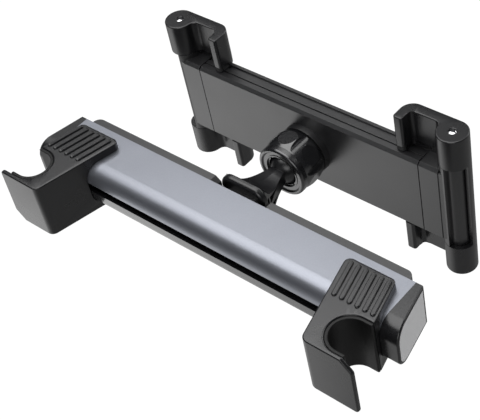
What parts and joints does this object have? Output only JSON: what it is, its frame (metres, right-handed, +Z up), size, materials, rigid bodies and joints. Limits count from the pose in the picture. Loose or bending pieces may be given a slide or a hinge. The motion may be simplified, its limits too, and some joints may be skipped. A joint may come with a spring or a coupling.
{
  "type": "headrest tablet mount",
  "caption": "Bar with sprung hooks that grip a car seat's headrest posts, and a ball-jointed holder whose sliding arms and folding claws hold a tablet.",
  "frame": {"origin": "midway between the axes of the two headrest posts, at the bar's mid-height", "axes": "+X along the bar, +Y from the bar to the tablet holder, +Z up along the posts"},
  "size_m": [0.2192, 0.1163, 0.0836],
  "materials": {
    "silver_cover": "satin silver-grey, fine grain",
    "black_gloss": "polished black",
    "dark_grey": "dark grey, satin",
    "black_satin": "black, satin moulding grain",
    "grey_gloss": "mid grey, glossy inset",
    "steel": "plain steel",
    "rubber": "matt black rubber",
    "ring_nylon": "smooth grey nylon",
    "chrome_pin": "polished pin end"
  },
  "bodies": {
    "root": {"top_cover": "silver_cover", "bottom_cover": "black_gloss", "rear_housing": "dark_grey", "right_end_cap": "black_satin", "left_end_cap": "black_satin", "right_end_plate": "grey_gloss", "left_end_plate": "grey_gloss", "right_cap_screw": "steel", "left_cap_screw": "steel", "guide_rod": "steel", "right_hook_spring": "steel", "left_hook_spring": "steel", "ball_arm": "black_satin", "arm_screws": "steel"},
    "right_hook": {"right_hook": "black_satin", "right_liner": "rubber"},
    "left_hook": {"left_hook": "black_satin", "left_liner": "rubber"},
    "friction_ring": {"friction_ring": "ring_nylon"},
    "ball_cup": {"ball_cup": "black_satin"},
    "holder": {"socket_boss": "dark_grey", "holder_back": "dark_grey", "boss_screws": "steel", "holder_front": "dark_grey", "cover_screws": "steel", "right_front_pad": "rubber", "left_front_pad": "rubber", "right_arm_spring": "steel", "left_arm_spring": "steel"},
    "collar_nut": {"collar_nut": "black_satin"},
    "right_arm": {"right_slide_arm": "dark_grey"},
    "left_arm": {"left_slide_arm": "dark_grey"},
    "right_claw": {"right_claw": "black_satin", "right_hinge_pin": "chrome_pin"},
    "left_claw": {"left_claw": "black_satin", "left_hinge_pin": "chrome_pin"}
  },
  "joints": [
    {"name": "right_hook_slide", "type": "slide", "parent": "root", "child": "right_hook", "axis": [-1, 0, 0], "range_m": [0, 0.03], "stiffness_N_per_m": 300, "springref_m": -0.02, "deforming": ["right_hook_spring"]},
    {"name": "left_hook_slide", "type": "slide", "parent": "root", "child": "left_hook", "axis": [1, 0, 0], "range_m": [0, 0.03], "stiffness_N_per_m": 300, "springref_m": -0.02, "deforming": ["left_hook_spring"]},
    {"name": "ball_tilt", "type": "hinge", "parent": "root", "child": "friction_ring", "pos_m": [0, 0.0745, 0], "axis": [1, 0, 0], "range_deg": [-15, 15]},
    {"name": "ball_pan", "type": "hinge", "parent": "friction_ring", "child": "ball_cup", "pos_m": [0, 0.0745, 0], "axis": [0, 0, 1], "range_deg": [-15, 15]},
    {"name": "ball_roll", "type": "hinge", "parent": "ball_cup", "child": "holder", "pos_m": [0, 0.0745, 0], "axis": [0, 1, 0], "continuous": true},
    {"name": "nut_turn", "type": "hinge", "parent": "holder", "child": "collar_nut", "pos_m": [0, 0.0745, 0], "axis": [0, 1, 0], "range_deg": [0, 330]},
    {"name": "right_arm_slide", "type": "slide", "parent": "holder", "child": "right_arm", "axis": [1, 0, 0], "range_m": [0, 0.04], "stiffness_N_per_m": 150, "springref_m": -0.02, "deforming": ["right_arm_spring"]},
    {"name": "right_claw_turn", "type": "hinge", "parent": "right_arm", "child": "right_claw", "pos_m": [0.0806, 0.0965, 0], "axis": [0, 0, -1], "range_deg": [0, 90]},
    {"name": "left_arm_slide", "type": "slide", "parent": "holder", "child": "left_arm", "axis": [-1, 0, 0], "range_m": [0, 0.04], "stiffness_N_per_m": 150, "springref_m": -0.02, "deforming": ["left_arm_spring"]},
    {"name": "left_claw_turn", "type": "hinge", "parent": "left_arm", "child": "left_claw", "pos_m": [-0.0806, 0.0965, 0], "axis": [0, 0, 1], "range_deg": [0, 90]}
  ]
}
